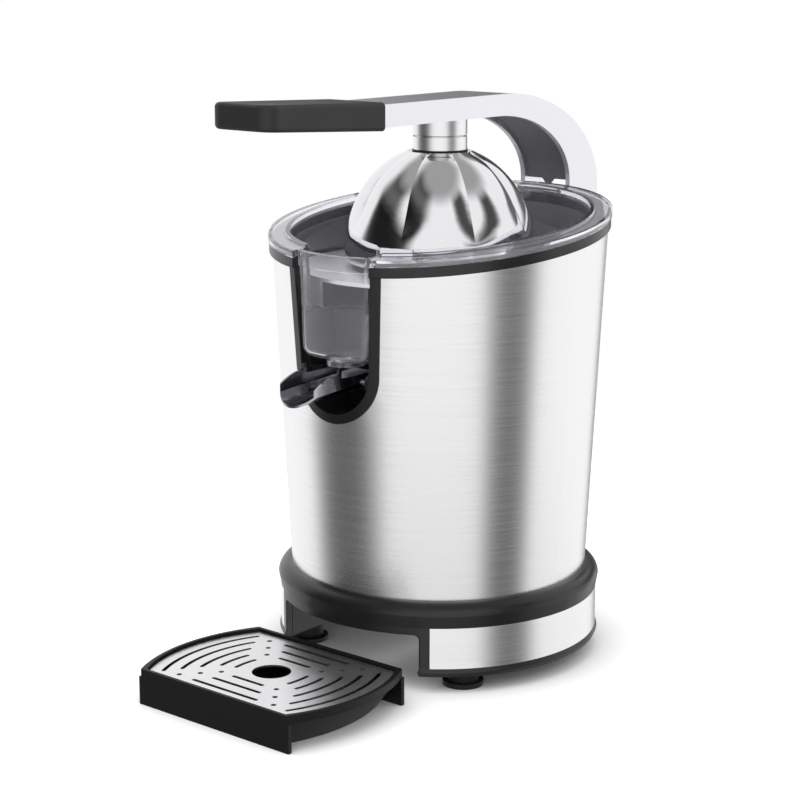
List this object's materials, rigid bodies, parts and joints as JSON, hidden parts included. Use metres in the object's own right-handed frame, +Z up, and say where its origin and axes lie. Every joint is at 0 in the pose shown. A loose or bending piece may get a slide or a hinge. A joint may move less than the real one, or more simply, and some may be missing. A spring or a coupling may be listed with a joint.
{
  "type": "electric lever citrus press",
  "caption": "Electric citrus press: flared steel body, clear juice collector, lobed press dome on a hinged lever, tilting spout, loose drip tray with a slotted grid.",
  "frame": {"origin": "on the counter, under the middle of the whole footprint", "axes": "+Z up, -Y to the front, where the spout, the grip and the drip tray are, +X to the right seen from the front"},
  "size_m": [0.193, 0.3144, 0.3211],
  "materials": {
    "shell_steel": "brushed along the round",
    "dome_steel": "polished",
    "spout_steel": "polished",
    "neck_steel": "brushed",
    "arm_casting": "satin",
    "grid_steel": "brushed",
    "black_plastic": "satin",
    "dark_plastic": "satin",
    "soft_grip": "soft touch",
    "rubber": "matt",
    "clear_plastic": "clear",
    "cone_plastic": "gloss",
    "nylon": "matt",
    "bright_steel": "turned",
    "bronze": "sintered",
    "motor_steel": "zinc plated",
    "core_steel": "laminated",
    "bracket_casting": "satin"
  },
  "bodies": {
    "housing": {"base_skirt": "black_plastic", "base_band": "shell_steel", "base_plate": "black_plastic", "tray_bay": "black_plastic", "rubber_feet": "rubber", "base_screws": "bright_steel", "cord_gland": "rubber", "housing_shell": "shell_steel", "rim_trim": "black_plastic", "spout_recess": "black_plastic", "bowl_seat": "dark_plastic", "clear_collector": "clear_plastic", "strainer": "grid_steel", "shaft_bush": "bronze", "shaft_seal": "rubber", "gearbox_base": "dark_plastic", "gearbox_lid": "dark_plastic", "gearbox_screws": "bright_steel", "idler_axle": "bright_steel", "motor_can": "motor_steel", "motor_stator": "core_steel", "motor_end_cap": "bracket_casting", "motor_bushes": "bronze", "motor_screws": "bright_steel", "start_switch": "dark_plastic", "return_spring": "bright_steel", "hinge_bracket": "bracket_casting", "hinge_backing": "bright_steel", "hinge_screws": "bright_steel", "hinge_pin": "bright_steel"},
    "lever": {"lever_arm": "arm_casting", "arm_liner": "dark_plastic", "grip": "soft_grip", "grip_screws": "bright_steel", "hinge_bushes": "nylon", "neck_sleeve": "neck_steel", "neck_collar": "neck_steel", "neck_ring": "rubber", "press_dome": "dome_steel", "dome_ring": "rubber", "neck_bolt": "bright_steel"},
    "press_carrier": {"thrust_button": "nylon"},
    "spindle": {"reamer_cone": "cone_plastic", "drive_shaft": "bright_steel", "output_gear": "nylon"},
    "idler": {"idler_gear": "nylon"},
    "rotor": {"motor_shaft": "bright_steel", "motor_pinion": "bronze", "rotor_core": "core_steel", "cooling_fan": "dark_plastic"},
    "spout_scoop": {"spout": "spout_steel"},
    "tray": {"drip_tray": "black_plastic"},
    "grid": {"drip_grid": "grid_steel"}
  },
  "joints": [
    {"name": "lever_hinge", "type": "hinge", "parent": "housing", "child": "lever", "pos_m": [0, 0.14285, 0.238], "axis": [-1, 0, 0], "range_deg": [0, 80]},
    {"name": "spindle_press", "type": "slide", "parent": "housing", "child": "press_carrier", "axis": [0, 0, -1], "range_m": [0, 0.002], "stiffness_N_per_m": 4000, "springref_m": -0.002, "deforming": ["return_spring"]},
    {"name": "rotor_spin", "type": "hinge", "parent": "housing", "child": "rotor", "pos_m": [-0.03447, 0.06682, 0.116], "axis": [0, 0, 1], "continuous": true},
    {"name": "idler_spin", "type": "hinge", "parent": "housing", "child": "idler", "pos_m": [0, 0.0729, 0.165], "axis": [0, 0, 1], "continuous": true},
    {"name": "cone_spin", "type": "hinge", "parent": "press_carrier", "child": "spindle", "pos_m": [0, 0.02915, 0.2], "axis": [0, 0, 1], "continuous": true},
    {"name": "spout_tilt", "type": "hinge", "parent": "housing", "child": "spout_scoop", "pos_m": [0, -0.04985, 0.1684], "axis": [-1, 0, 0], "range_deg": [0, 18]},
    {"name": "tray_slide", "type": "slide", "parent": "housing", "child": "tray", "axis": [0, -1, 0], "range_m": [0, 0.08]},
    {"name": "grid_lift", "type": "slide", "parent": "tray", "child": "grid", "axis": [0, 0, 1], "range_m": [0, 0.03]}
  ],
  "couplings": [
    {"joint": "idler_spin", "follows": "rotor_spin", "ratio": -0.25},
    {"joint": "cone_spin", "follows": "rotor_spin", "ratio": 0.0625}
  ]
}
